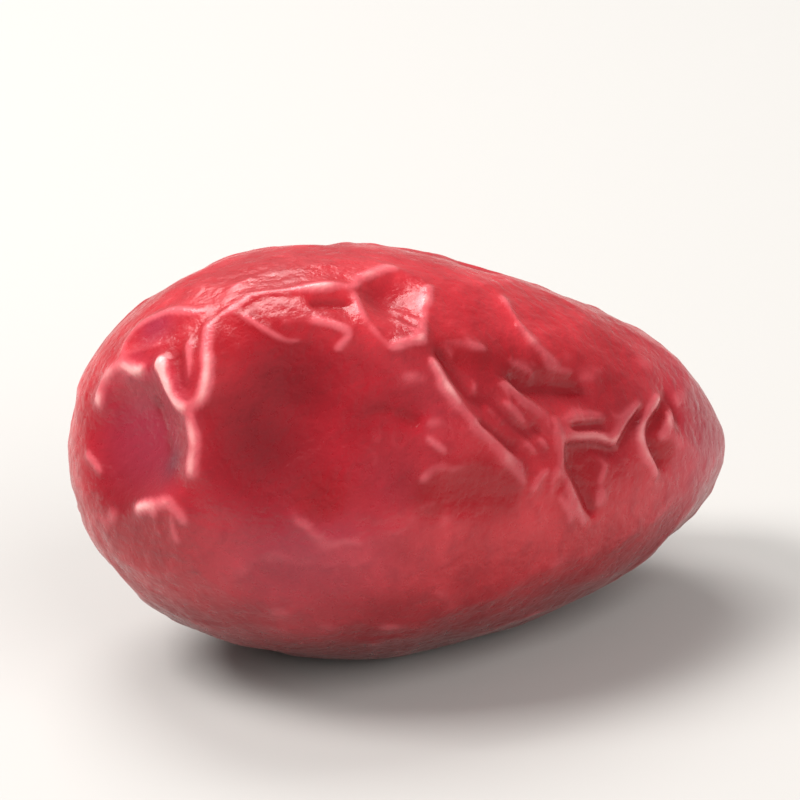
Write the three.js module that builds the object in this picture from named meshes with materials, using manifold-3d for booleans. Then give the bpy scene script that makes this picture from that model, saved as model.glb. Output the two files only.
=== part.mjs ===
// A dried jujube: one whole fruit, shrunken and dented by drying, lying on its side.
// Millimetres, +Z up. X runs along the fruit from its blunt end to its narrow end, and the
// origin is straight below the fruit's middle, on the small flat spot that it rests on.
import * as THREE from 'three';
import { mergeVertices } from 'three/addons/utils/BufferGeometryUtils.js';
import Module from 'manifold-3d';

// Driving dimensions
const FRUIT_LENGTH = 53.2;
const MIDDLE_RADIUS = 14.9; // half the height, half way along
const TAPER = 0.236; // share of that radius gained at the blunt end and lost at the narrow end
const END_FULLNESS = 0.018; // share of that radius gained again towards both ends
const WIDTH_OVER_HEIGHT = 1.05;
const LYING_PITCH = THREE.MathUtils.degToRad(9.9); // the narrow end dips as the fruit lies on its side
const REST_SPOT_DEPTH = 0.7; // how far the underside is pressed flat
const EDGE_DIVISIONS = 16; // cuts in each edge of the icosahedron that the skin starts from
const SKIN_COLOUR = 0xa93640;

// Hollows that drying leaves in the skin. A place on the fruit is a station, in millimetres along
// the axis from its middle to the narrow end, and a clock angle, in degrees from the top round
// the front. Reach is the distance at which a hollow has lost about two thirds of its depth.
const HOLLOWS = [
  { station: -26.1, clock: 44, reach: 5.0, depth: 1.9 }, // basin in the blunt end
  { station: 26.4, clock: 250, reach: 2.6, depth: 1.0 }, // stem cavity in the narrow end
  { station: -17.0, clock: 54, reach: 4.8, depth: 1.3 }, // smooth dent in the front
  { station: -7.0, clock: 22, reach: 2.6, depth: 0.6 }, // small dent at the top of the front
  { station: 3.0, clock: 62, reach: 7.5, depth: 0.7 }, // creased field in the front
  { station: 7.5, clock: 345, reach: 7.0, depth: 0.7 }, // straight slope along the top
  { station: -12.0, clock: 268, reach: 5.5, depth: 1.2 },
  { station: 5.0, clock: 250, reach: 6.0, depth: 1.0 },
  { station: -3.0, clock: 312, reach: 4.5, depth: 0.8 },
  { station: 14.0, clock: 305, reach: 4.0, depth: 0.7 },
  { station: -15.0, clock: 222, reach: 3.6, depth: 0.6 },
];

const wasm = await Module();
wasm.setup();

// The plain egg that the fruit had before it dried: a point of the unit sphere moved to its skin.
function eggPoint(direction) {
  const share = direction.x;
  const swell = 1 - TAPER * share + END_FULLNESS * share * share;
  const radius = MIDDLE_RADIUS * swell;
  return new THREE.Vector3(
    (FRUIT_LENGTH / 2) * share,
    WIDTH_OVER_HEIGHT * radius * direction.y,
    radius * direction.z,
  );
}

function directionAt(station, clock) {
  const share = station / (FRUIT_LENGTH / 2);
  const across = Math.sqrt(1 - share * share);
  const angle = THREE.MathUtils.degToRad(clock);
  return new THREE.Vector3(share, -across * Math.sin(angle), across * Math.cos(angle));
}

// How deep the skin lies below the plain egg at a point, with every hollow's share added up.
function hollowDepth(point) {
  let depth = 0;
  for (const hollow of HOLLOWS) {
    const centre = eggPoint(directionAt(hollow.station, hollow.clock));
    const distance = point.distanceTo(centre) / hollow.reach;
    depth += hollow.depth * Math.exp(-distance * distance);
  }
  return depth;
}

// The skin of the whole fruit, lying at its pitch with the rest spot's plane at z = 0.
function fruitSkin() {
  const ball = new THREE.IcosahedronGeometry(1, EDGE_DIVISIONS);
  ball.deleteAttribute('normal');
  ball.deleteAttribute('uv');
  const skin = mergeVertices(ball);
  const position = skin.getAttribute('position');
  const direction = new THREE.Vector3();
  const outward = new THREE.Vector3();
  for (let i = 0; i < position.count; i += 1) {
    direction.fromBufferAttribute(position, i).normalize();
    const point = eggPoint(direction);
    outward.copy(direction);
    outward.x *= MIDDLE_RADIUS / (FRUIT_LENGTH / 2);
    outward.normalize();
    point.addScaledVector(outward, -hollowDepth(point));
    position.setXYZ(i, point.x, point.y, point.z);
  }
  skin.rotateY(LYING_PITCH);
  skin.computeBoundingBox();
  skin.translate(0, 0, -skin.boundingBox.min.z - REST_SPOT_DEPTH);
  return skin;
}

// The space below the surface that the fruit lies on.
function groundBlock() {
  const block = new THREE.BoxGeometry(2 * FRUIT_LENGTH, 2 * FRUIT_LENGTH, FRUIT_LENGTH);
  block.translate(0, 0, -FRUIT_LENGTH / 2);
  block.deleteAttribute('normal');
  block.deleteAttribute('uv');
  return mergeVertices(block);
}

function solidOf(geometry) {
  return new wasm.Manifold(new wasm.Mesh({
    numProp: 3,
    vertProperties: new Float32Array(geometry.getAttribute('position').array),
    triVerts: new Uint32Array(geometry.getIndex().array),
  }));
}

function geometryOf(solid) {
  const mesh = solid.getMesh();
  const geometry = new THREE.BufferGeometry();
  geometry.setAttribute('position', new THREE.BufferAttribute(mesh.vertProperties, 3));
  geometry.setIndex(new THREE.BufferAttribute(mesh.triVerts, 1));
  geometry.computeVertexNormals();
  return geometry;
}

// The fruit, pressed flat where it rests.
function jujube() {
  const solid = solidOf(fruitSkin()).subtract(solidOf(groundBlock()));
  const material = new THREE.MeshStandardMaterial({ color: SKIN_COLOUR, roughness: 0.42, metalness: 0 });
  const mesh = new THREE.Mesh(geometryOf(solid), material);
  mesh.name = 'jujube';
  return mesh;
}

const fruit = new THREE.Group();
fruit.add(jujube());

export default fruit;
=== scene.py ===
# A dried jujube lying on its side, on a pale floor in soft studio light.
import math

import bpy
import numpy as np
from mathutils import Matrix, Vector
from mathutils.bvhtree import BVHTree
from mathutils.kdtree import KDTree


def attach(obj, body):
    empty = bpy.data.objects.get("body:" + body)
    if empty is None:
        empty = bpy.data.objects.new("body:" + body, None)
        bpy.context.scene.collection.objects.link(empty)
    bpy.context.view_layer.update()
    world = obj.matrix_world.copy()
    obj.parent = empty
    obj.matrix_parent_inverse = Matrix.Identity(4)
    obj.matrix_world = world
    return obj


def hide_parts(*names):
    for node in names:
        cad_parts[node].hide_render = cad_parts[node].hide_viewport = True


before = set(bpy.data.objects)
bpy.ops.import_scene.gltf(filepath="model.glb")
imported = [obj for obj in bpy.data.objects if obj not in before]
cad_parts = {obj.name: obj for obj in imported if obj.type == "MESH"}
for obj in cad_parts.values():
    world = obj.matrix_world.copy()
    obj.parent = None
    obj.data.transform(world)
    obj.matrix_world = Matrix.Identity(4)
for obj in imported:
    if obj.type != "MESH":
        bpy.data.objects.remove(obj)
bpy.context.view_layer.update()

# The jujube
# One whole fruit, grown as one piece: a thin waxy skin over spongy flesh. Drying shrinks the flesh, and
# the skin, now too large for it, stands in sharp folds and hangs between them as a tent does between
# its poles. It is made as a fine smooth mesh on the solid, which the folds raise and the hollows lower.
MM = 0.001

# The plain egg that the fruit had before it dried, as the solid has it, in millimetres.
FRUIT_LENGTH = 53.2
MIDDLE_RADIUS = 14.9
TAPER = 0.236
END_FULLNESS = 0.018
WIDTH_OVER_HEIGHT = 1.05
LYING_PITCH = math.radians(9.9)
MIDDLE = np.array((0.0, 0.0, 14.02))

# The direction that the fruit is seen from.
AZIMUTH = math.radians(-29)
ELEVATION = math.radians(22.4)
towards_camera = np.array((
    math.sin(AZIMUTH) * math.cos(ELEVATION),
    -math.cos(AZIMUTH) * math.cos(ELEVATION),
    math.sin(ELEVATION),
))

# The mesh: its cells are finer on the side that has the sharpest folds. It is drawn in onto the solid
# from an egg that is START_SIZE times as large.
CELLS_ALONG = 160
CELLS_ACROSS = 108
FINER = 0.3
SMOOTHING_STEPS = 14
START_SIZE = 1.5

# The cells of skin between folds on the hidden sides, and the slack of the skin, in millimetres.
WIDE_CELL = 6.5
SMALL_CELL = 3.2
LENGTH_OVER_WIDTH = 2.2
SWAY = 0.9
SLACK_SIZE = 10.5
WAVE_SIZE = 2.6

# The skin's colours, and the sizes of its mottling, in millimetres. The grain of a real skin is finer
# than 0.7 mm: it is drawn coarser so that it shows. A range is where a noise goes from none to all of
# what it does. A tint is the mark on the skin that it follows, its share there and its colour.
BLOTCH_SIZE = 5.0
FLECK_SIZE = 1.4
GRAIN_SIZE = 0.7
FLECK_RELIEF = 0.13
GRAIN_RELIEF = 0.06
BLOTCH_RANGE = (0.35, 0.65)
FLECK_RANGE = (0.5, 0.7)
FLECK_SHARE = 0.4
GRAIN_RANGE = (0.3, 0.7)
GLOSSY = 0.24
SATIN = 0.42
SHEEN = 0.1
SHEEN_ROUGHNESS = 0.35
SHEEN_COLOUR = "#FFD8D2"
DULL_RED = "#A0151F"
BRIGHT_RED = "#BC2A33"
FLECK_RED = "#8E1420"
# Of these tints, the darker reds are partly or wholly painted shade in hollows, dents, grooves and
# underneath, the two pale pinks are painted highlights on crests, and the first, a wax bloom, is partly a
# painted sheen.
TINTS = [
    ("bloom_and_sheen", 0.6, "#9C4052"),
    ("mauve", 0.65, "#8E2E48"),
    ("hollow", 0.8, "#A01220"),
    ("rich_red_and_shade", 0.95, "#960A16"),
    ("deep_red_and_shade", 0.9, "#620710"),
    ("groove_shade", 0.45, "#7A0811"),
    ("crest_highlight", 0.6, "#D8626A"),
    ("pale", 0.8, "#F8B4B0"),
    ("scar", 0.85, "#3C2C36"),
]


def add_node(tree, kind, inputs=None, **settings):
    """Adds a node, with its settings, and links or fills its inputs."""
    node = tree.nodes.new(kind)
    for name, value in settings.items():
        setattr(node, name, value)
    for key, value in (inputs or {}).items():
        if isinstance(value, bpy.types.NodeSocket):
            tree.links.new(value, node.inputs[key])
        else:
            node.inputs[key].default_value = value
    return node


def node_group(name, sizes):
    """A geometry tree with a named input for each size, and the sockets that give them."""
    tree = bpy.data.node_groups.new(name, "GeometryNodeTree")
    tree.interface.new_socket("Geometry", in_out="INPUT", socket_type="NodeSocketGeometry")
    for label, kind in sizes.items():
        tree.interface.new_socket(label, in_out="INPUT", socket_type=kind)
    tree.interface.new_socket("Geometry", in_out="OUTPUT", socket_type="NodeSocketGeometry")
    return tree, tree.nodes.new("NodeGroupInput").outputs


def mesh_from_nodes(piece, tree, values):
    """Runs a tree on a piece and leaves the result as its plain mesh."""
    modifier = piece.modifiers.new(tree.name, "NODES")
    modifier.node_group = tree
    for socket in tree.interface.items_tree:
        if socket.in_out == "INPUT" and socket.name in values:
            modifier[socket.identifier] = values[socket.name]
    evaluated = piece.evaluated_get(bpy.context.evaluated_depsgraph_get())
    mesh = bpy.data.meshes.new_from_object(evaluated)
    piece.modifiers.clear()
    piece.data = mesh


def linear(colour):
    """An sRGB hex colour as linear red, green, blue and alpha."""
    shares = [int(colour[i:i + 2], 16) / 255 for i in (1, 3, 5)]
    return tuple(s / 12.92 if s <= 0.04045 else ((s + 0.055) / 1.055) ** 2.4 for s in shares) + (1,)


def waxy_skin():
    """Dried jujube skin, a thin waxy film: mottled red and satin, with painted shade in hollows, grooves,
    dents and underneath, painted highlights on crests, and a wax bloom that is partly a painted sheen.
    """
    material = bpy.data.materials.new("waxy_jujube_skin")
    material.use_nodes = True
    tree = material.node_tree
    shader = tree.nodes["Principled BSDF"]
    shader.inputs["Sheen Weight"].default_value = SHEEN
    shader.inputs["Sheen Roughness"].default_value = SHEEN_ROUGHNESS
    shader.inputs["Sheen Tint"].default_value = linear(SHEEN_COLOUR)
    place = add_node(tree, "ShaderNodeTexCoord").outputs["Object"]
    blotch, fleck, grain = (
        add_node(tree, "ShaderNodeTexNoise", {
            "Vector": place, "Scale": 1 / (size * MM), "Detail": 3.0,
        }).outputs["Fac"]
        for size in (BLOTCH_SIZE, FLECK_SIZE, GRAIN_SIZE)
    )
    ripe = add_node(tree, "ShaderNodeMapRange", {
        "Value": blotch, "From Min": BLOTCH_RANGE[0], "From Max": BLOTCH_RANGE[1],
    })
    darker = add_node(tree, "ShaderNodeMapRange", {
        "Value": fleck, "From Min": FLECK_RANGE[0], "From Max": FLECK_RANGE[1], "To Max": FLECK_SHARE,
    })
    colour = linear(DULL_RED)
    for share, tint in ((ripe.outputs[0], BRIGHT_RED), (darker.outputs[0], FLECK_RED)):
        colour = add_node(tree, "ShaderNodeMix", {
            0: share, 6: colour, 7: linear(tint),
        }, data_type="RGBA").outputs[2]
    for name, strength, tint in TINTS:
        mark = add_node(tree, "ShaderNodeAttribute", attribute_name=name).outputs["Fac"]
        share = add_node(tree, "ShaderNodeMath", {0: mark, 1: strength}, operation="MULTIPLY").outputs[0]
        colour = add_node(tree, "ShaderNodeMix", {
            0: share, 6: colour, 7: linear(tint),
        }, data_type="RGBA").outputs[2]
    tree.links.new(colour, shader.inputs["Base Color"])
    gloss = add_node(tree, "ShaderNodeMapRange", {
        "Value": grain, "From Min": GRAIN_RANGE[0], "From Max": GRAIN_RANGE[1],
        "To Min": GLOSSY, "To Max": SATIN,
    })
    tree.links.new(gloss.outputs[0], shader.inputs["Roughness"])
    creases = add_node(tree, "ShaderNodeBump", {"Height": fleck, "Distance": FLECK_RELIEF * MM})
    pores = add_node(tree, "ShaderNodeBump", {
        "Height": grain, "Distance": GRAIN_RELIEF * MM, "Normal": creases.outputs[0],
    })
    tree.links.new(pores.outputs[0], shader.inputs["Normal"])
    return material


def cell_gap(tree, cell):
    """How far each point is from the edge of the cell of skin it lies in. Cells are long and crooked."""
    place = add_node(tree, "GeometryNodeInputPosition").outputs[0]
    count = add_node(tree, "ShaderNodeMath", {0: 1.0, 1: cell}, operation="DIVIDE").outputs[0]
    sway = add_node(tree, "ShaderNodeTexNoise", {"Vector": place, "Scale": count, "Detail": 2.0})
    reach = add_node(tree, "ShaderNodeMath", {0: cell, 1: SWAY}, operation="MULTIPLY").outputs[0]
    crooked = add_node(tree, "ShaderNodeVectorMath", {
        0: sway.outputs["Color"], 1: reach, 2: place,
    }, operation="MULTIPLY_ADD")
    long = add_node(tree, "ShaderNodeVectorMath", {
        0: crooked.outputs[0], 1: (1 / LENGTH_OVER_WIDTH, 1, 1),
    }, operation="MULTIPLY")
    cells = add_node(tree, "ShaderNodeTexVoronoi", {
        "Vector": long.outputs[0], "Scale": count,
    }, feature="DISTANCE_TO_EDGE")
    gap = add_node(tree, "ShaderNodeMath", {0: cells.outputs["Distance"], 1: cell}, operation="MULTIPLY")
    return gap.outputs[0]


def smooth_form_tree():
    """A box of even cells, blown up to an egg, laid down and drawn in onto the solid."""
    tree, size = node_group("smooth_form", {
        "Cells along": "NodeSocketInt",
        "Cells across": "NodeSocketInt",
        "Finer towards": "NodeSocketVector",
        "Half length": "NodeSocketFloat",
        "Middle radius": "NodeSocketFloat",
        "Taper": "NodeSocketFloat",
        "End fullness": "NodeSocketFloat",
        "Width over height": "NodeSocketFloat",
        "Pitch": "NodeSocketFloat",
        "Middle": "NodeSocketVector",
        "Solid": "NodeSocketObject",
        "Smoothing steps": "NodeSocketInt",
        "Wide cell": "NodeSocketFloat",
        "Small cell": "NodeSocketFloat",
        "Skin": "NodeSocketMaterial",
    })
    box = add_node(tree, "GeometryNodeMeshCube", {
        "Size": (2, 2, 2),
        "Vertices X": size["Cells along"],
        "Vertices Y": size["Cells across"],
        "Vertices Z": size["Cells across"],
    })
    charted = add_node(tree, "GeometryNodeStoreNamedAttribute", {
        "Geometry": box.outputs["Mesh"], "Name": "OFBake", "Value": box.outputs["UV Map"],
    }, data_type="FLOAT2", domain="CORNER")
    place = add_node(tree, "GeometryNodeInputPosition").outputs[0]
    angles = add_node(tree, "ShaderNodeVectorMath", {0: place, "Scale": math.pi / 4}, operation="SCALE")
    spread = add_node(tree, "ShaderNodeVectorMath", {0: angles.outputs[0]}, operation="TANGENT")
    even_ball = add_node(tree, "ShaderNodeVectorMath", {0: spread.outputs[0]}, operation="NORMALIZE")
    drawn = add_node(tree, "ShaderNodeVectorMath", {
        0: even_ball.outputs[0], 1: size["Finer towards"],
    }, operation="ADD")
    ball = add_node(tree, "ShaderNodeVectorMath", {0: drawn.outputs[0]}, operation="NORMALIZE")
    share = add_node(tree, "ShaderNodeSeparateXYZ", {0: ball.outputs[0]}).outputs["X"]
    bend = add_node(tree, "ShaderNodeMath", {
        0: share, 1: size["End fullness"], 2: size["Taper"],
    }, operation="MULTIPLY_ADD")
    swell = add_node(tree, "ShaderNodeMath", {0: share, 1: bend.outputs[0], 2: 1.0}, operation="MULTIPLY_ADD")
    radius = add_node(tree, "ShaderNodeMath", {
        0: swell.outputs[0], 1: size["Middle radius"],
    }, operation="MULTIPLY")
    wide = add_node(tree, "ShaderNodeMath", {
        0: radius.outputs[0], 1: size["Width over height"],
    }, operation="MULTIPLY")
    stretch = add_node(tree, "ShaderNodeCombineXYZ", {
        "X": size["Half length"], "Y": wide.outputs[0], "Z": radius.outputs[0],
    })
    egg = add_node(tree, "ShaderNodeVectorMath", {
        0: ball.outputs[0], 1: stretch.outputs[0],
    }, operation="MULTIPLY")
    laid = add_node(tree, "ShaderNodeVectorRotate", {
        "Vector": egg.outputs[0], "Angle": size["Pitch"],
    }, rotation_type="Y_AXIS")
    outside = add_node(tree, "ShaderNodeVectorMath", {
        0: laid.outputs[0], 1: (START_SIZE,) * 3, 2: size["Middle"],
    }, operation="MULTIPLY_ADD")
    inward = add_node(tree, "ShaderNodeVectorMath", {0: laid.outputs[0], "Scale": -1.0}, operation="SCALE")
    solid = add_node(tree, "GeometryNodeObjectInfo", {"Object": size["Solid"]})
    hit = add_node(tree, "GeometryNodeRaycast", {
        "Target Geometry": solid.outputs["Geometry"],
        "Source Position": outside.outputs[0],
        "Ray Direction": inward.outputs[0],
    })
    drawn_in = add_node(tree, "GeometryNodeSetPosition", {
        "Geometry": charted.outputs[0], "Position": hit.outputs["Hit Position"],
    })
    even = add_node(tree, "GeometryNodeBlurAttribute", {
        "Iterations": size["Smoothing steps"],
    }, data_type="FLOAT_VECTOR")
    tree.links.new(place, next(s for s in even.inputs if s.enabled and s.name == "Value"))
    smooth = add_node(tree, "GeometryNodeSetPosition", {
        "Geometry": drawn_in.outputs[0],
        "Position": next(s for s in even.outputs if s.enabled),
    })
    wave, slack = (
        add_node(tree, "ShaderNodeTexNoise", {
            "Vector": place, "Scale": 1 / (breadth * MM), "Detail": 1.0,
        }).outputs["Fac"]
        for breadth in (WAVE_SIZE, SLACK_SIZE)
    )
    marked = smooth.outputs[0]
    fields = {
        "wide_gap": cell_gap(tree, size["Wide cell"]),
        "small_gap": cell_gap(tree, size["Small cell"]),
        "wave": wave,
        "slack": slack,
    }
    for name, value in fields.items():
        marked = add_node(tree, "GeometryNodeStoreNamedAttribute", {
            "Geometry": marked, "Name": name, "Value": value,
        }, data_type="FLOAT", domain="POINT").outputs[0]
    whole = add_node(tree, "GeometryNodeRealizeInstances", {"Geometry": marked})
    covered = add_node(tree, "GeometryNodeSetMaterial", {
        "Geometry": whole.outputs[0], "Material": size["Skin"],
    })
    add_node(tree, "NodeGroupOutput", {"Geometry": covered.outputs[0]})
    return tree


skin = bpy.data.objects.new("jujube_skin", bpy.data.meshes.new("jujube_skin"))
bpy.context.scene.collection.objects.link(skin)
mesh_from_nodes(skin, smooth_form_tree(), {
    "Cells along": CELLS_ALONG + 1,
    "Cells across": CELLS_ACROSS + 1,
    "Finer towards": tuple(FINER * towards_camera),
    "Half length": FRUIT_LENGTH / 2 * MM,
    "Middle radius": MIDDLE_RADIUS * MM,
    "Taper": -TAPER,
    "End fullness": END_FULLNESS,
    "Width over height": WIDTH_OVER_HEIGHT,
    "Pitch": LYING_PITCH,
    "Middle": tuple(MIDDLE * MM),
    "Solid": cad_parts["jujube"],
    "Smoothing steps": SMOOTHING_STEPS,
    "Wide cell": WIDE_CELL * MM,
    "Small cell": SMALL_CELL * MM,
    "Skin": waxy_skin(),
})

# The folds. A place on the fruit is a station, in millimetres along its axis from the middle to the
# narrow end, and a clock angle, in degrees from the top round the front. Each fold has the height that
# it holds the skin at, in millimetres from the smooth form, and the places that it runs through.
BOLD_CRESTS = [
    # Along the shoulder, from the blunt end to the top of the front
    (0.40, [(-26, -35), (-25.6, -30), (-25.2, -23), (-24.7, -11), (-24.7, 2), (-24.3, 10)]),
    (0.35, [(-24.6, -10), (-23.8, -16), (-22.6, -14), (-21.4, -5), (-20.8, 2), (-20, 9)]),
    (0.40, [(-19.9, 14), (-18.2, 14), (-16.9, 12), (-15.2, 14), (-13.4, 16), (-10.9, 17), (-9.9, 18)]),
    (0.35, [(-10, 18), (-8.7, 14), (-7.3, 12), (-5.9, 10), (-5.1, 11)]),
    # A tongue of skin that hangs from the shoulder
    (0.55, [(-23.4, 13), (-23.7, 20), (-23.9, 30), (-23.9, 37), (-23.7, 43), (-23.2, 46)]),
    (0.55, [(-23.2, 46), (-22.5, 44), (-22, 38), (-21.5, 31), (-21.1, 24), (-20.6, 18), (-20, 14)]),
    # Round the small dent at the top of the front
    (0.15, [(-9.8, 18), (-10.4, 26), (-10.2, 32), (-9.8, 36), (-9.1, 40)]),
    (0.40, [(-9.3, 40), (-7.9, 39), (-6.7, 38), (-6, 34), (-5.3, 28), (-4.3, 22), (-3.4, 17)]),
    (0.10, [(-5.1, 11), (-4.1, 14), (-3.4, 18)]),
    # The creased field in the front
    (0.10, [(-6.2, 38), (-4.5, 38), (-2.8, 39), (-0.9, 40)]),
    (-0.10, [(-0.9, 40), (1.4, 42), (3.9, 43), (5.8, 44), (7.6, 44)]),
    (0.30, [(-6.4, 43), (-5.9, 49), (-5.3, 54), (-4.2, 60), (-2.9, 64.5), (-1.8, 68), (0.9, 76)]),
    (-0.25, [(-3.2, 54), (-2.4, 50), (-1.6, 47), (-0.6, 44.5), (-0.2, 47.5), (0.2, 50)]),
    (0.20, [(-0.1, 50), (1.2, 54.5), (2.3, 58), (3.4, 62), (4.3, 64)]),
    (-0.25, [(-3.6, 57.5), (-2.5, 60.5), (-1.4, 63.5), (0.3, 68)]),
    (0.40, [(3.9, 61), (4.2, 64), (4.4, 68), (4.4, 72), (4.2, 76), (4.9, 80), (5.8, 86), (7.2, 96)]),
    (0.15, [(4.4, 62), (5.8, 61), (7.6, 60), (9.3, 60)]),
    (0.25, [(4.6, 66), (6.3, 66), (8.1, 66), (9.5, 68)]),
    (0.25, [(9.5, 69), (10.3, 66), (11.1, 62), (12.1, 58), (13, 54)]),
    (0.25, [(15.7, 50), (14, 57), (12.8, 63), (12.5, 68), (13, 73), (14, 78), (14.7, 82)]),
    (0.15, [(-8.4, 78), (-7.1, 74), (-5.4, 74), (-3.4, 72), (-1.6, 76), (0.7, 81)]),
    # Round the hollow in the blunt end
    (0.28, [(-23.3, 47), (-23.4, 55), (-23.4, 63), (-23.5, 71), (-23.5, 80)]),
    (0.25, [(-25.6, 116), (-24.9, 102), (-24.4, 97), (-23.8, 99), (-23.2, 104)]),
]
BOLD_VALLEYS = [
    (-0.6, [(-5.4, 41), (-5.1, 43.5), (-4.6, 47), (-4, 51), (-3.1, 55), (-1.7, 56)]),
    (-0.8, [(0.9, 47.5), (1.9, 51), (3.4, 50.5), (5.4, 50.5), (7.1, 50.5), (7.8, 52)]),
    (-0.6, [(-3.1, 55.5), (-2, 57.5), (-0.9, 60.5), (0.3, 63.5), (2.7, 64.5)]),
    (-0.4, [(-3, 62), (-2.2, 63), (-0.9, 66.5), (0.3, 70.5)]),
    (-0.3, [(5.9, 63), (7.4, 63), (9.1, 62.5)]),
    (-0.5, [(5.2, 70), (7.6, 70), (10.2, 72)]),
    (-0.7, [(5.5, 72), (6.3, 78), (7.2, 85), (8.2, 93)]),
    (-0.4, [(10.4, 69.5), (11.4, 65), (12.1, 61.5), (13.2, 57)]),
    (-0.6, [(16, 51), (15.3, 58), (14.3, 63), (14, 68), (14.6, 74), (15.2, 80)]),
    (-0.4, [(16.4, 48), (17.1, 54), (17.3, 61)]),
    (-0.10, [(-22.6, 20), (-22.9, 28), (-23, 37)]),
    (-1.5, [(-25.4, 26), (-25.6, 45), (-25.5, 62)]),
    (-0.9, [(-13.9, 64), (-13.1, 60), (-11.8, 58), (-10.5, 57), (-9.2, 59), (-8, 62)]),
    (-0.4, [(-13.6, 22), (-12.2, 23), (-10.8, 24)]),
]
FINE_CRESTS = [
    (0.23, [(-24.2, -12), (-23.8, -2), (-23.3, 4), (-22.7, 8)]),
    (0.30, [(-24, 16), (-23.5, 18), (-23.4, 22)]),
    (0.38, [(-22.9, 36), (-22.5, 29), (-22, 21), (-21.6, 16)]),
    (0.45, [(-2.2, 57), (-1.4, 59.5), (-0.4, 62.5), (0.9, 66.5), (2.1, 71)]),
    (0.45, [(-0.4, 56), (0.2, 58), (1.2, 61.5), (2.2, 65), (3.2, 70)]),
    (0.18, [(-17.7, 4), (-16.6, 3), (-15.7, 1)]),
    (0.21, [(-7.9, 29), (-7.4, 33), (-6.8, 36)]),
    (0.21, [(-7.2, 25), (-6.7, 29), (-6.2, 33)]),
    (0.27, [(-18.3, 17), (-17.9, 22), (-17.1, 28), (-16.1, 32), (-15.1, 32)]),
    (0.27, [(-13.9, 28), (-13, 30), (-11.7, 34)]),
    (0.24, [(-13.2, 38), (-12.5, 36), (-11.7, 34)]),
    (0.24, [(-7.8, 66), (-7, 68), (-6.2, 70)]),
    (0.33, [(2.7, 19), (2.8, 28), (3.2, 35), (4.2, 40), (5.5, 44)]),
    (0.21, [(1, 44), (2.2, 45), (3, 46.5), (2.6, 49)]),
    (0.38, [(3, 76), (2.2, 78), (1.5, 82)]),
    (0.30, [(4, 76), (3.4, 79), (3.3, 84)]),
    (0.21, [(4, 84), (4.9, 88), (5.6, 94)]),
    (0.21, [(-1.3, 72), (0, 76), (1, 80)]),
    (0.21, [(8, 72), (9.1, 76), (8.4, 82)]),
    (0.21, [(15.6, 54), (16, 58), (16, 64)]),
    (0.18, [(-24.9, 104), (-24.6, 112), (-24.1, 118)]),
    (0.18, [(-24.1, 102), (-23.7, 109), (-23.2, 115)]),
    (0.30, [(-26.4, -102), (-26.55, 180)]),
]
# Places where the flesh has shrunk away: station, clock, reach and depth.
DENTS = [
    (-18.2, 58, 4.6, 1.5),
    (-16.4, 38, 2.6, 0.35),
    (-12, 58, 5.5, 0.35),
    (-15.6, 81, 1.8, 0.6),
    (-12.2, 83, 1.6, 0.3),
    (-4.6, 80, 1.7, 0.8),
    (-2.2, 81, 1.7, 0.8),
    (6.8, 77, 2.0, 0.6),
    (-7.9, 21, 1.9, 1.1),
    (-22.4, -3, 1.7, 0.5),
    (3, 57, 6.0, 0.5),
    (-2.9, 25, 1.3, 0.25),
    (-11.9, 46, 1.2, 0.35),
    (-13.3, 59, 1.2, 0.3),
    (-9.4, 78, 1.3, 0.35),
    (-10.5, 57, 1.6, 0.3),
    (-25, 72, 1.0, 0.4),
    (-14, 124, 1.7, 0.35),
    (-9.5, 130, 1.9, 0.4),
    (-6, 121, 1.3, 0.25),
]
BASIN = (-26, 45, 5.2, 1.3)

# How the skin hangs, in millimetres: how far a fold lifts the skin beside it, and how wide it is. In the
# creased field in the front the skin is stretched flat from fold to fold.
FIELD = (4, 62, 9.0)
FIELD_REACH = 3.0
BOLD_REACH = 1.0
FINE_REACH = 0.5
BOLD_WIDTH = 0.2
FINE_WIDTH = 0.15
BACK_WIDTH = 0.3
SOFTENING = 0.1
HOLD = 120.0
END_FADE = 8
LINE_STEP = 0.12
HANG_STEPS = 300
UNEVEN = 0.35

# The hidden sides sag between crests along the edges of their cells, more where the skin is slack. The
# front does so a little. Limits are where a share goes from none to all: the cosine of the angle to the
# camera, heights in millimetres, and slack from 0 to 1.
BACK_SAG = 0.9
LEAST_SAG = 0.3
SLACK_SAG = 0.9
BACK_CREST = 0.2
CREST_DROP = 0.6
SMALL_SAG = 0.16
SMALL_CREST = 0.05
FRONT_SLACK = 0.15
FIELD_SLACK = 0.25
TURNED_AWAY = (0.16, -0.12)
ABOVE_REST_SPOT = (0.3, 2.5)
OUT_OF_DENTS = (-0.3, 0)
WIDE_CELL_SLACK = (0.36, 0.56)
SMALL_CELL_SLACK = (0.6, 0.45)

# Shallow unevenness all over, which the smooth form makes room for.
WRINKLE_WIDTH = 0.07
WRINKLE_HEIGHT = 0.03
TAUT_WRINKLE = 0.25
SUNKEN_WRINKLE = 0.5
SUNKEN = (0, 0.5)
WAVE_HEIGHT = 0.15
SWELL_HEIGHT = 0.5
ROOM = 0.12
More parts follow.
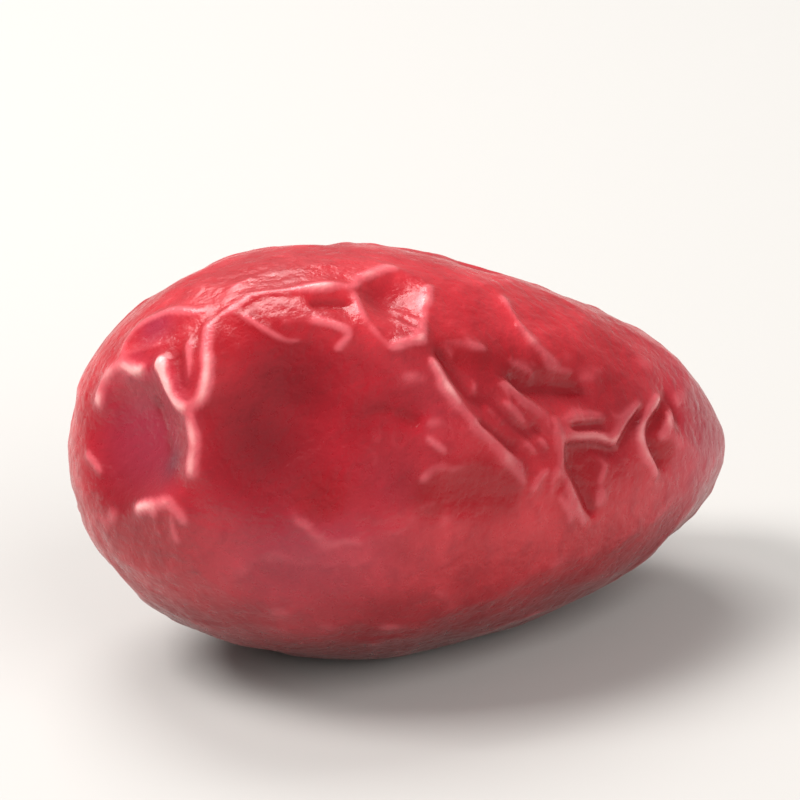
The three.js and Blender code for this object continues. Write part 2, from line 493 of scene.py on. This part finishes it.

# Patches of colour: station, clock, reach and strength. Bloom is a thin wax and partly a painted sheen, mauve
# is where the skin lies loose over air, the two darker reds that follow are sunken skin and partly painted
# shade, and a scar is dry and grey.
# Greyish mauve wax bloom, partly a painted sheen of grazing reflection.
BLOOM_AND_SHEEN_PATCHES = [(23, 70, 8, 0.8), (-17, 97, 7, 0.5), (-26, 45, 5, 0.5), (-11.5, 76, 2.2, 0.7)]
# Partly painted shade: the darkest red, in the big dent of the front and in other dents.
DEEP_RED_AND_SHADE_PATCHES = [
    (-19.2, 64, 5.6, 1.0), (-16.8, 46, 4.6, 0.9), (-12.5, 60, 4.0, 0.6), (-9.3, 78, 1.8, 0.4),
    (-26, 130, 5, 0.7), (-24, 118, 4, 0.5), (-16, 81, 2.0, 0.55), (-8, 47, 4.5, 0.5),
    (1, 56, 6.0, 0.45), (9.5, 60, 5.0, 0.5), (-12, 43, 3.5, 0.4),
]
# Partly painted shade: dark red in the small dents and valleys of the creased field.
RICH_RED_AND_SHADE_PATCHES = [
    (-15.6, 82, 2.2, 0.9), (-7.1, 82, 1.7, 1.0), (-5, 80, 2.0, 1.0), (-3.4, 79, 2.2, 1.0),
    (-1.2, 81.5, 2.0, 1.0), (6.4, 73, 1.8, 1.0), (7.2, 79, 1.8, 1.0), (8.3, 86, 1.2, 0.9),
    (-4, 41, 1.8, 1.0), (-1.6, 42, 1.6, 1.0), (1, 45, 1.8, 1.0), (3.6, 47, 1.6, 1.0),
    (6, 48.5, 1.5, 1.0), (15.6, 60, 1.8, 1.0), (15.2, 72, 1.6, 1.0), (-14, 8, 6, 0.4),
]
MAUVE = [(-22.5, -4, 1.4, 0.9), (-24.2, -2, 0.8, 0.5), (-16, 98, 8, 0.25), (-8, 58, 4, 0.2)]
SCAR = [(-25, 71, 1.5, 1.0), (-26, 16, 0.8, 0.6)]
# Painted shade under the fruit: its skin goes darker red towards the floor, between these heights in
# millimetres.
PAINTED_UNDERSIDE_SHADE = 1.0
UNDERSIDE_SHADE_HEIGHTS = (12, 2)
SOFT_EDGE = 2
SHARP_EDGE = 4

# Marks left by the folds, painted as shade in hollows and grooves and as highlights on crests, with the
# limits between which they go from none to all, in millimetres: how far the skin is below the smooth form,
# and how far above or below the skin within RISE_REACH of it.
RISE_REACH = 0.5
LEAST_RISE = 0.7
WAVE_RISE = 0.6
HOLLOW_SHADE_LIMITS = (0.05, 0.6)
CREST_HIGHLIGHT_LIMITS = (0.015, 0.1)
PALE_HIGHLIGHT_LIMITS = (0.11, 0.26)
GROOVE_SHADE_LIMITS = (0.02, 0.14)
HOLLOW_SHADE_IN_BASIN = 0.3
CREST_HIGHLIGHT_FADE = 0.5
PALE_HIGHLIGHT_FADE = 0.7


def smooth_step(low, high, values):
    """Goes softly from 0 at low to 1 at high."""
    share = np.clip((values - low) / (high - low), 0, 1)
    return share * share * (3 - 2 * share)


def to_arrays(mesh):
    """A mesh's points and outward normals, in millimetres."""
    points = np.empty(len(mesh.vertices) * 3, np.float32)
    mesh.vertices.foreach_get("co", points)
    normals = np.empty_like(points)
    mesh.vertices.foreach_get("normal", normals)
    return points.reshape(-1, 3).astype(float) / MM, normals.reshape(-1, 3).astype(float)


def field(mesh, name):
    """A value stored at each point."""
    values = np.empty(len(mesh.vertices), np.float32)
    mesh.attributes[name].data.foreach_get("value", values)
    return values.astype(float)


def store(mesh, name, values):
    """Stores a value at each point, for the material to read."""
    mesh.attributes.new(name, "FLOAT", "POINT").data.foreach_set("value", values.astype(np.float32))


def neighbours_of(mesh, points):
    """The four neighbours of each point, and one over the squared distance to each."""
    edges = np.empty(len(mesh.edges) * 2, np.int32)
    mesh.edges.foreach_get("vertices", edges)
    pairs = edges.reshape(-1, 2)
    both = np.vstack((pairs, pairs[:, ::-1]))
    both = both[np.argsort(both[:, 0], kind="stable")]
    first = np.searchsorted(both[:, 0], np.arange(len(points)))
    count = np.bincount(both[:, 0], minlength=len(points))
    near = np.tile(np.arange(len(points))[:, None], (1, 4))
    for place in range(4):
        there = count > place
        near[there, place] = both[first[there] + place, 1]
    apart = np.sum((points[near] - points[:, None]) ** 2, axis=2)
    pull = np.where(apart > 0, 1 / np.maximum(apart, 1e-9), 0)
    return near, pull


def egg_point(station, clock):
    """A place on the plain egg, laid down, in millimetres."""
    share = station / (FRUIT_LENGTH / 2)
    radius = MIDDLE_RADIUS * (1 - TAPER * share + END_FULLNESS * share**2) * math.sqrt(1 - share**2)
    angle = math.radians(clock)
    x, y, z = station, -WIDTH_OVER_HEIGHT * radius * math.sin(angle), radius * math.cos(angle)
    c, s = math.cos(LYING_PITCH), math.sin(LYING_PITCH)
    return MIDDLE + np.array((c * x + s * z, y, c * z - s * x))


def fold_line(places):
    """Points along a smooth line through the places, on the egg."""
    knots = np.array([egg_point(*place) for place in places])
    knots = np.vstack((2 * knots[0] - knots[1], knots, 2 * knots[-1] - knots[-2]))
    line = []
    for a, b, c, d in zip(knots, knots[1:], knots[2:], knots[3:]):
        count = max(2, int(np.linalg.norm(c - b) / LINE_STEP))
        for t in np.arange(count) / count:
            line.append(0.5 * (2 * b + (c - a) * t + (2 * a - 5 * b + 4 * c - d) * t**2
                               + (3 * b - a - 3 * c + d) * t**3))
    return np.array(line)


def hang(flesh, held, hold, reach):
    """Heights of a skin drawn towards the flesh and held at the folds, by conjugate gradients."""
    tie = 1 / reach**2
    diagonal = pull.sum(1) + tie + hold
    height = np.zeros_like(flesh)
    rest = flesh * tie + held * hold
    step = rest / diagonal
    size = np.dot(rest, step)
    for _ in range(HANG_STEPS):
        moved = diagonal * step - np.sum(pull * step[near], axis=1)
        length = size / np.dot(step, moved)
        height += length * step
        rest = rest - length * moved
        turned = rest / diagonal
        grown = np.dot(rest, turned)
        step = turned + grown / size * step
        size = grown
    return height


def distance_to(station, clock):
    """How far each point of the skin is from a place on the fruit."""
    return np.linalg.norm(points - egg_point(station, clock), axis=1)


def patches(places, edge=SOFT_EDGE):
    """How far each point lies inside round patches, from 0 to 1. A higher edge is a sharper one."""
    share = np.zeros(len(points))
    for station, clock, reach, strength in places:
        share = np.maximum(share, strength * np.exp(-(distance_to(station, clock) / reach) ** edge))
    return share


def blurred(values, reach):
    """The values, averaged over about this distance on the skin."""
    return hang(values, 0 * values, 0 * values, reach)


def hold_lines(folds, width, held, hold):
    """Holds the skin along each fold's line, unevenly, and more loosely towards the line's ends."""
    for height, places in folds:
        line = fold_line(places)
        for share, spot in zip(np.linspace(0, 1, len(line)), line):
            fade = min(1, END_FADE * share, END_FADE * (1 - share))
            centre = surface.find_nearest(spot)[0]
            for _, index, apart in spots.find_range(centre, 2 * width):
                strength = HOLD * fade * math.exp(-(apart / width) ** 2)
                if strength > hold[index]:
                    hold[index] = strength
                    held[index] = height * (1 + UNEVEN * (2 * wave[index] - 1))


points, normals = to_arrays(skin.data)
near, pull = neighbours_of(skin.data, points)
spots = KDTree(len(points))
for index, point in enumerate(points):
    spots.insert(point, index)
spots.balance()
surface = BVHTree.FromPolygons(points.tolist(), [tuple(p.vertices) for p in skin.data.polygons])

unseen = smooth_step(*TURNED_AWAY, normals @ towards_camera)
lifted = smooth_step(*ABOVE_REST_SPOT, points[:, 2])
wave = field(skin.data, "wave")
slack = field(skin.data, "slack")
wide_gap = field(skin.data, "wide_gap") / MM
small_gap = field(skin.data, "small_gap") / MM
station, clock, reach, depth = BASIN
basin = np.exp(-(distance_to(station, clock) / reach) ** SHARP_EDGE)
flesh = -depth * basin
station, clock, reach = FIELD
in_field = np.exp(-(distance_to(station, clock) / reach) ** SHARP_EDGE)
for station, clock, reach, depth in DENTS:
    flesh -= depth * np.exp(-(distance_to(station, clock) / reach) ** 2)

# The bold folds, then the fine ones between them, then the unevenness all over.
loose = (unseen + FRONT_SLACK * (1 - unseen) * smooth_step(*OUT_OF_DENTS, flesh)) * lifted
flesh -= BACK_SAG * (LEAST_SAG + SLACK_SAG * slack) * loose
hold = HOLD * np.exp(-(wide_gap / BACK_WIDTH) ** 2) * loose * smooth_step(*WIDE_CELL_SLACK, slack)
held = BACK_CREST * (2 * slack - CREST_DROP)
hold_lines(BOLD_CRESTS + BOLD_VALLEYS, BOLD_WIDTH, held, hold)
height = hang(flesh, held, hold, BOLD_REACH + (FIELD_REACH - BOLD_REACH) * in_field)

loose = np.maximum(loose, FIELD_SLACK * in_field)
hold = HOLD * np.exp(-(small_gap / BACK_WIDTH) ** 2) * loose * smooth_step(*SMALL_CELL_SLACK, slack)
held = np.full(len(points), SMALL_CREST)
hold_lines(FINE_CRESTS, FINE_WIDTH, held, hold)
height += hang(-SMALL_SAG * loose, held, hold, FINE_REACH)
height = blurred(height, SOFTENING)

wrinkle = smooth_step(WRINKLE_WIDTH, 0, np.abs(wave - 0.5))
sunken = smooth_step(*SUNKEN, -height)
wrinkled = np.maximum(np.maximum(in_field, loose), SUNKEN_WRINKLE * sunken)
height += WRINKLE_HEIGHT * (TAUT_WRINKLE + wrinkled) * wrinkle * lifted
height += (WAVE_HEIGHT * (wave - 0.5) + SWELL_HEIGHT * (slack - 0.5) - ROOM) * lifted

# What the material reads: how sunken and how sharply raised the skin is, as painted shade and painted
# highlights, and the patches of colour.
rise = (height - blurred(height, RISE_REACH)) * (LEAST_RISE + WAVE_RISE * wave)
# Painted shade: darker towards the bottom of the fruit.
underside_shade = PAINTED_UNDERSIDE_SHADE * smooth_step(*UNDERSIDE_SHADE_HEIGHTS, points[:, 2])
# Painted shade: darker red where the skin is sunken, less so in the basin.
hollow = smooth_step(*HOLLOW_SHADE_LIMITS, -height)
store(skin.data, "hollow", hollow * (1 - (1 - HOLLOW_SHADE_IN_BASIN) * basin))
weaker = np.maximum(unseen, in_field)
# Painted highlights: paler pink along sharply raised crests, weaker on the hidden sides and in the creased
# field.
store(skin.data, "crest_highlight", smooth_step(*CREST_HIGHLIGHT_LIMITS, rise) * (1 - CREST_HIGHLIGHT_FADE * weaker))
store(skin.data, "pale", smooth_step(*PALE_HIGHLIGHT_LIMITS, rise) * (1 - PALE_HIGHLIGHT_FADE * weaker))
# Painted shade: darker red along narrow grooves.
store(skin.data, "groove_shade", smooth_step(*GROOVE_SHADE_LIMITS, -rise))
# A wax bloom, partly a painted sheen.
store(skin.data, "bloom_and_sheen", patches(BLOOM_AND_SHEEN_PATCHES))
store(skin.data, "mauve", np.maximum(basin, patches(MAUVE)))
# Partly painted shade: darker red patches in dents, and darker towards the bottom.
store(skin.data, "rich_red_and_shade", patches(RICH_RED_AND_SHADE_PATCHES, SHARP_EDGE))
store(skin.data, "deep_red_and_shade", np.maximum(patches(DEEP_RED_AND_SHADE_PATCHES), underside_shade))
store(skin.data, "scar", patches(SCAR))
points += normals * height[:, None]
points[:, 2] = np.maximum(points[:, 2], 0)
skin.data.vertices.foreach_set("co", (points * MM).ravel().astype(np.float32))
skin.data.shade_smooth()
skin.data.update()
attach(skin, "root")
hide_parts("jujube")

# The studio
# A wide pale floor and soft light: a large lamp above and behind the fruit, one above its blunt end,
# and a very large one in front. Only the first is mirrored in the skin, so the hollows keep their red.
FLOOR_SIDE = 6.0
FLOOR_GREY = "#B8B5B1"
SKY_STRENGTH = 0.25


def pale_floor():
    """Matt studio paper, a touch warm: it takes the soft shadow and mirrors nothing."""
    material = bpy.data.materials.new("matt_studio_paper")
    material.use_nodes = True
    shader = material.node_tree.nodes["Principled BSDF"]
    shader.inputs["Base Color"].default_value = linear(FLOOR_GREY)
    shader.inputs["Roughness"].default_value = 0.8
    return material


floor_mesh = bpy.data.meshes.new("floor")
half = FLOOR_SIDE / 2
corners = [(-half, -half, 0), (half, -half, 0), (half, half, 0), (-half, half, 0)]
floor_mesh.from_pydata(corners, [], [(0, 1, 2, 3)])
floor_mesh.materials.append(pale_floor())
floor = bpy.data.objects.new("floor", floor_mesh)
bpy.context.scene.collection.objects.link(floor)

fruit_middle = Vector(MIDDLE * MM)


def lamp(name, place, side, power, reflected):
    """A square soft lamp at a place, in metres from the fruit's middle, facing the fruit."""
    data = bpy.data.lights.new(name, "AREA")
    data.size = side
    data.energy = power
    light = bpy.data.objects.new(name, data)
    light.location = fruit_middle + Vector(place)
    light.rotation_euler = Vector(place).to_track_quat("Z", "Y").to_euler()
    light.visible_glossy = reflected
    bpy.context.scene.collection.objects.link(light)


lamp("top_lamp", (0.03, 0.27, 0.42), 0.3, 2.1, True)
lamp("left_lamp", (-0.36, 0.14, 0.46), 0.25, 4.0, False)
lamp("front_lamp", (0.2, -0.95, 0.7), 1.2, 13.0, False)

world = bpy.data.worlds.new("studio")
world.use_nodes = True
world.node_tree.nodes["Background"].inputs["Color"].default_value = (1, 1, 1, 1)
world.node_tree.nodes["Background"].inputs["Strength"].default_value = SKY_STRENGTH
bpy.context.scene.world = world
bpy.context.scene.view_settings.view_transform = "Standard"

# The camera
# It looks down at the fruit from the front left, close with a long lens.
DISTANCE = 0.6
FRAME_WIDTH = 58.75 * MM
AIM_LEFT = 0.66
AIM_ABOVE = 3.5
SENSOR = 36.0
right = Vector((math.cos(AZIMUTH), math.sin(AZIMUTH), 0))
back = Vector(towards_camera)
up = back.cross(right)
aim = fruit_middle - right * AIM_LEFT * MM + up * AIM_ABOVE * MM
camera_data = bpy.data.cameras.new("camera")
camera_data.sensor_width = SENSOR
camera_data.lens = SENSOR * DISTANCE / FRAME_WIDTH
camera_data.clip_start = 0.01
camera = bpy.data.objects.new("camera", camera_data)
camera.location = aim + back * DISTANCE
camera.rotation_euler = back.to_track_quat("Z", "Y").to_euler()
bpy.context.scene.collection.objects.link(camera)
bpy.context.scene.camera = camera
